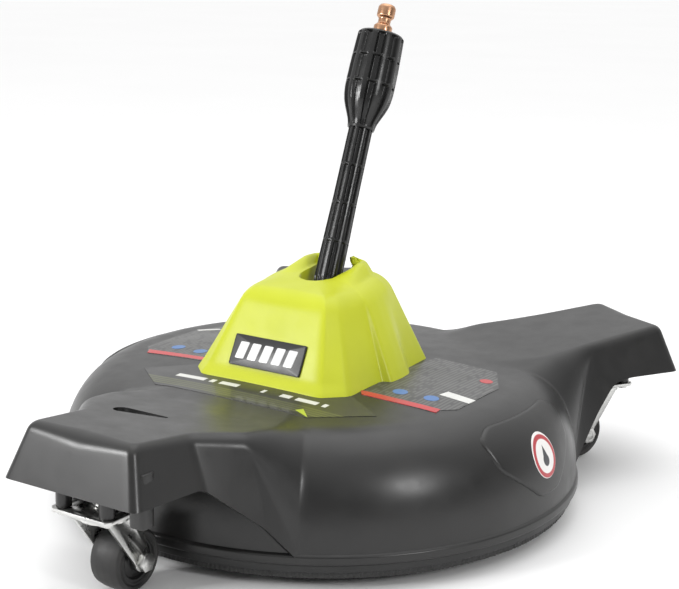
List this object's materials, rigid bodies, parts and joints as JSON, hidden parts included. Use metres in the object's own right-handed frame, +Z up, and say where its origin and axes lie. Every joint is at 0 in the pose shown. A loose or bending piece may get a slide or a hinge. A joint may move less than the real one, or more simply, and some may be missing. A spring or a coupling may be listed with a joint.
{
  "type": "pressure washer surface cleaner",
  "caption": "Domed spray deck on three swivel casters with a spinning nozzle bar, brush skirt, lime tower cover and a tilting black wand with a brass quick-connect plug.",
  "frame": {"origin": "on the deck's spin axis at ground level, under the casters' contact points", "axes": "+Z up along the spray bar's spin axis, -Y towards the single front wing, +X to the deck's right seen from the rear"},
  "size_m": [0.3544, 0.4835, 0.3191],
  "materials": {
    "badge_black": "semi-gloss plate",
    "black_plastic": "satin moulded plastic",
    "brass": "machined",
    "bristle": "nylon bristle",
    "label_black": "printed film",
    "label_grey": "printed film",
    "lime_plastic": "satin moulded plastic",
    "plug_brass": "machined, lightly tarnished",
    "seal_rubber": "smooth",
    "shell_grey": "satin moulded plastic, fine grain",
    "steel": "turned",
    "sticker": "printed film",
    "tyre": "smooth hard rubber",
    "wand_black": "semi-gloss moulded plastic",
    "wheel_plastic": "moulded",
    "zinc": "bright zinc plate"
  },
  "bodies": {
    "deck": {"deck_shell": "shell_grey", "skirt_ring": "black_plastic", "skirt_bristles": "bristle", "skirt_screws": "zinc", "tower_cover": "lime_plastic", "tower_screws": "zinc", "badge_plate": "badge_black", "label_front": "label_black", "side_labels": "label_grey", "round_stickers": "sticker", "union_housing": "brass", "union_bolts": "zinc", "union_nuts": "zinc", "upper_bearing": "steel", "bearing_spacer": "steel", "lower_bearing": "steel", "bearing_circlip": "steel", "shaft_seal": "seal_rubber", "deck_nut": "brass", "pivot_yoke": "brass", "trunnion_bolt": "zinc", "trunnion_nut": "zinc", "caster_screws": "zinc", "plate_front": "zinc", "kingpin_front": "zinc", "plate_right": "zinc", "kingpin_right": "zinc", "plate_left": "zinc", "kingpin_left": "zinc"},
    "rotor": {"rotor_shaft": "steel", "bar_hub": "brass", "hub_nut": "zinc", "spray_arms": "steel", "arm_nuts": "brass", "nozzle_bodies": "brass", "nozzle_tips": "steel"},
    "wand": {"wand_eye": "brass", "eye_o_rings": "seal_rubber", "lance_tube": "steel", "wand_sleeve": "wand_black", "wand_grip": "wand_black", "inlet_plug": "plug_brass"},
    "swivel_front": {"balls_front": "steel", "fork_front": "zinc", "axle_bolt_front": "zinc", "axle_nut_front": "zinc"},
    "wheel_front": {"hub_front": "wheel_plastic", "tyre_front": "tyre"},
    "swivel_right": {"balls_right": "steel", "fork_right": "zinc", "axle_bolt_right": "zinc", "axle_nut_right": "zinc"},
    "wheel_right": {"hub_right": "wheel_plastic", "tyre_right": "tyre"},
    "swivel_left": {"balls_left": "steel", "fork_left": "zinc", "axle_bolt_left": "zinc", "axle_nut_left": "zinc"},
    "wheel_left": {"hub_left": "wheel_plastic", "tyre_left": "tyre"}
  },
  "joints": [
    {"name": "bar_spin", "type": "hinge", "parent": "deck", "child": "rotor", "pos_m": [0, 0, 0.034], "axis": [0, 0, 1], "continuous": true},
    {"name": "wand_tilt", "type": "hinge", "parent": "deck", "child": "wand", "pos_m": [0, -0.003, 0.12], "axis": [-1, 0, 0], "range_deg": [-20, 45]},
    {"name": "swivel_front_turn", "type": "hinge", "parent": "deck", "child": "swivel_front", "pos_m": [0, -0.214, 0.0496], "axis": [0, 0, 1], "continuous": true},
    {"name": "wheel_front_roll", "type": "hinge", "parent": "swivel_front", "child": "wheel_front", "pos_m": [0, -0.198, 0.019], "axis": [1, 0, 0], "continuous": true},
    {"name": "swivel_right_turn", "type": "hinge", "parent": "deck", "child": "swivel_right", "pos_m": [0.11655, 0.17948, 0.0496], "axis": [0, 0, 1], "continuous": true},
    {"name": "wheel_right_roll", "type": "hinge", "parent": "swivel_right", "child": "wheel_right", "pos_m": [0.11005, 0.16486, 0.019], "axis": [-0.9135, 0.4067, 0], "continuous": true},
    {"name": "swivel_left_turn", "type": "hinge", "parent": "deck", "child": "swivel_left", "pos_m": [-0.11655, 0.17948, 0.0496], "axis": [0, 0, 1], "continuous": true},
    {"name": "wheel_left_roll", "type": "hinge", "parent": "swivel_left", "child": "wheel_left", "pos_m": [-0.10855, 0.16562, 0.019], "axis": [-0.866, -0.5, 0], "continuous": true}
  ]
}
